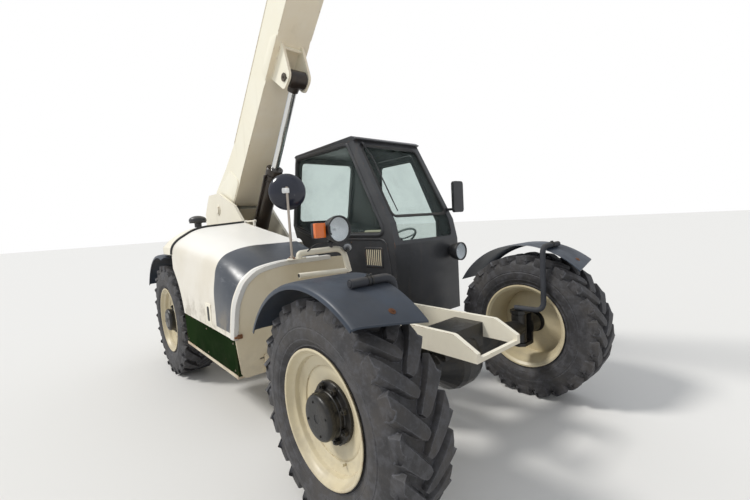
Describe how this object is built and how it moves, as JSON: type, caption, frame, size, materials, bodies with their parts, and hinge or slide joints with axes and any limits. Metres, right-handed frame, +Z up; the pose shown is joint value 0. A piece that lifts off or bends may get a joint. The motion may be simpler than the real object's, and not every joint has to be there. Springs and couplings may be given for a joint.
{
  "type": "telehandler",
  "caption": "Compact telescopic handler with a side engine, offset cab, raised two-stage boom and pallet forks on four steered wheels.",
  "frame": {"origin": "middle of the bounding box, on the floor", "axes": "+X forward, +Y to the machine's left, +Z up"},
  "size_m": [5.6142, 2.34, 4.6953],
  "materials": {
    "tyre_rubber": "dusty ribbed rubber",
    "rim_cream": "pale beige paint",
    "greasy_black": "greasy black",
    "fender_plastic": "weathered dark blue-grey plastic",
    "window_glass": "tinted glass",
    "cab_paint": "charcoal paint",
    "cabin_plastic": "dark cabin plastic",
    "green_paint": "glossy dark green",
    "dark_steel": "dark worn paint",
    "chrome_rod": "hard chrome",
    "black_plastic": "black plastic",
    "cream_paint": "sun-bleached cream"
  },
  "bodies": {
    "chassis": {"chassis_frame": "cream_paint", "boom_tower": "cream_paint", "counterweight": "dark_steel", "driveline": "greasy_black", "front_axle": "greasy_black", "rear_axle": "greasy_black", "engine_block": "dark_steel", "engine_bulkhead": "cream_paint", "engine_skirt": "green_paint", "rear_cowl": "cream_paint", "air_precleaner": "black_plastic", "fender_rear_right": "fender_plastic", "fender_rear_left": "fender_plastic", "cab_frame": "cab_paint", "cab_roof": "cab_paint", "cab_glazing": "window_glass", "seat": "cabin_plastic", "dash": "cabin_plastic", "steering_wheel": "cabin_plastic", "fuel_tank": "dark_steel", "lamp_bracket": "cream_paint", "mirror_right": "black_plastic", "mirror_left": "black_plastic", "headlamp_right": "black_plastic", "headlamp_left": "black_plastic", "tail_lamps": "black_plastic", "cab_step": "cream_paint"},
    "knuckle_front_right": {"knuckle_front_right": "greasy_black", "fender_front_right": "fender_plastic"},
    "wheel_front_right": {"tyre_front_right": "tyre_rubber", "rim_front_right": "rim_cream", "hub_front_right": "greasy_black"},
    "knuckle_front_left": {"knuckle_front_left": "greasy_black", "fender_front_left": "fender_plastic"},
    "wheel_front_left": {"tyre_front_left": "tyre_rubber", "rim_front_left": "rim_cream", "hub_front_left": "greasy_black"},
    "knuckle_rear_right": {"knuckle_rear_right": "greasy_black"},
    "wheel_rear_right": {"tyre_rear_right": "tyre_rubber", "rim_rear_right": "rim_cream", "hub_rear_right": "greasy_black"},
    "knuckle_rear_left": {"knuckle_rear_left": "greasy_black"},
    "wheel_rear_left": {"tyre_rear_left": "tyre_rubber", "rim_rear_left": "rim_cream", "hub_rear_left": "greasy_black"},
    "hood": {"hood": "cream_paint"},
    "cab_door": {"cab_door": "cab_paint", "door_glass": "window_glass"},
    "boom": {"boom_outer": "cream_paint"},
    "boom_extension": {"boom_inner": "cream_paint"},
    "fork_carriage": {"carriage": "dark_steel", "forks": "dark_steel"},
    "lift_cylinder": {"lift_barrel": "dark_steel"},
    "lift_piston": {"lift_rod": "chrome_rod"},
    "tilt_cylinder": {"tilt_barrel": "dark_steel"},
    "tilt_piston": {"tilt_rod": "chrome_rod"}
  },
  "joints": [
    {"name": "steer_front_right", "type": "hinge", "parent": "chassis", "child": "knuckle_front_right", "pos_m": [1.09293, -0.76, 0.568], "axis": [0, 0, 1], "range_deg": [-32, 32]},
    {"name": "roll_front_right", "type": "hinge", "parent": "knuckle_front_right", "child": "wheel_front_right", "pos_m": [1.09293, -0.958, 0.568], "axis": [0, 1, 0], "continuous": true},
    {"name": "steer_front_left", "type": "hinge", "parent": "chassis", "child": "knuckle_front_left", "pos_m": [1.09293, 0.76, 0.568], "axis": [0, 0, 1], "range_deg": [-32, 32]},
    {"name": "roll_front_left", "type": "hinge", "parent": "knuckle_front_left", "child": "wheel_front_left", "pos_m": [1.09293, 0.958, 0.568], "axis": [0, 1, 0], "continuous": true},
    {"name": "steer_rear_right", "type": "hinge", "parent": "chassis", "child": "knuckle_rear_right", "pos_m": [-1.77707, -0.76, 0.568], "axis": [0, 0, 1], "range_deg": [-32, 32]},
    {"name": "roll_rear_right", "type": "hinge", "parent": "knuckle_rear_right", "child": "wheel_rear_right", "pos_m": [-1.77707, -0.958, 0.568], "axis": [0, 1, 0], "continuous": true},
    {"name": "steer_rear_left", "type": "hinge", "parent": "chassis", "child": "knuckle_rear_left", "pos_m": [-1.77707, 0.76, 0.568], "axis": [0, 0, 1], "range_deg": [-32, 32]},
    {"name": "roll_rear_left", "type": "hinge", "parent": "knuckle_rear_left", "child": "wheel_rear_left", "pos_m": [-1.77707, 0.958, 0.568], "axis": [0, 1, 0], "continuous": true},
    {"name": "hood_open", "type": "hinge", "parent": "chassis", "child": "hood", "pos_m": [-1.23707, -0.372, 1.54], "axis": [-1, 0, 0], "range_deg": [0, 60]},
    {"name": "door_open", "type": "hinge", "parent": "chassis", "child": "cab_door", "pos_m": [-0.89907, 1.092, 1.346], "axis": [0, 0, 1], "range_deg": [0, 85]},
    {"name": "boom_lift", "type": "hinge", "parent": "chassis", "child": "boom", "pos_m": [-2.28707, -0.1, 1.712], "axis": [0, -1, 0], "range_deg": [-50, 22]},
    {"name": "boom_extend", "type": "slide", "parent": "boom", "child": "boom_extension", "axis": [0.6938, 0, 0.7202], "range_m": [0, 1.9]},
    {"name": "carriage_tilt", "type": "hinge", "parent": "boom_extension", "child": "fork_carriage", "pos_m": [1.48707, -0.1, 4.11635], "axis": [0, -1, 0], "range_deg": [-40, 62]},
    {"name": "lift_barrel_swing", "type": "hinge", "parent": "chassis", "child": "lift_cylinder", "pos_m": [-1.95807, -0.1, 0.955], "axis": [0, -1, 0], "range_deg": [-46.36, 21.52]},
    {"name": "lift_rod_slide", "type": "slide", "parent": "lift_cylinder", "child": "lift_piston", "axis": [0.5934, 0, 0.8049], "range_m": [-0.6674, 0.2992]},
    {"name": "tilt_barrel_swing", "type": "hinge", "parent": "boom_extension", "child": "tilt_cylinder", "pos_m": [0.73027, -0.1, 4.49826], "axis": [0, -1, 0], "range_deg": [-5.27, 7.07]},
    {"name": "tilt_rod_slide", "type": "slide", "parent": "tilt_cylinder", "child": "tilt_piston", "axis": [0.7903, 0, -0.6127], "range_m": [-0.1034, 0.1575]}
  ],
  "couplings": [
    {"joint": "steer_front_left", "follows": "steer_front_right", "ratio": 1},
    {"joint": "steer_rear_left", "follows": "steer_rear_right", "ratio": 1},
    {"joint": "lift_barrel_swing", "follows": "boom_lift", "ratio": 0.8872},
    {"joint": "lift_rod_slide", "follows": "boom_lift", "m_per_rad": 0.75328},
    {"joint": "tilt_barrel_swing", "follows": "carriage_tilt", "ratio": 0.0817},
    {"joint": "tilt_rod_slide", "follows": "carriage_tilt", "m_per_rad": 0.1409}
  ]
}
